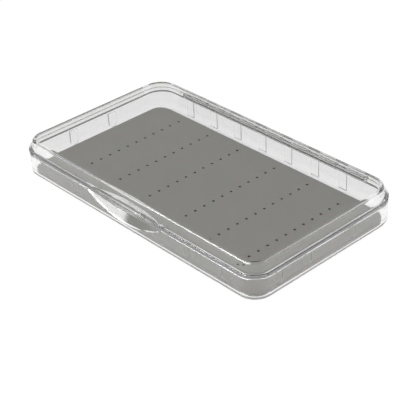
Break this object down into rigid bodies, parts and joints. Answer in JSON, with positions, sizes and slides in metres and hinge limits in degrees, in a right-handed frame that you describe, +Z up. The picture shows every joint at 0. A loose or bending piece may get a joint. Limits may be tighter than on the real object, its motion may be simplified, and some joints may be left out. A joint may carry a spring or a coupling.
{
  "type": "fly box",
  "caption": "Slim clear fly box: a shallow tray and a low lid on a long steel hinge pin, with a holed grey pad for hooks and a thumb scoop in front.",
  "frame": {"origin": "centre of the tray's flat underside, measured over the tray walls without the hinge", "axes": "+X along the box, parallel to the hinge; +Y towards the hinge, so the thumb scoop is at -Y; +Z up, out of the lid's flat top"},
  "size_m": [0.1808, 0.1059, 0.0206],
  "materials": {
    "clear_shell": "crystal-clear moulded plastic, polished",
    "pin_steel": "drawn steel wire, dull",
    "pad": "soft mid-grey pad, matt, with a fine even skin",
    "adhesive": "thin double-sided adhesive sheet"
  },
  "bodies": {
    "tray": {"base_tray": "clear_shell", "hinge_pin": "pin_steel", "fly_pad": "pad", "pad_adhesive": "adhesive"},
    "lid_body": {"lid": "clear_shell"}
  },
  "joints": [
    {"name": "lid_hinge", "type": "hinge", "parent": "tray", "child": "lid_body", "pos_m": [0, 0.0517, 0.013], "axis": [-1, 0, 0], "range_deg": [0, 180]}
  ]
}
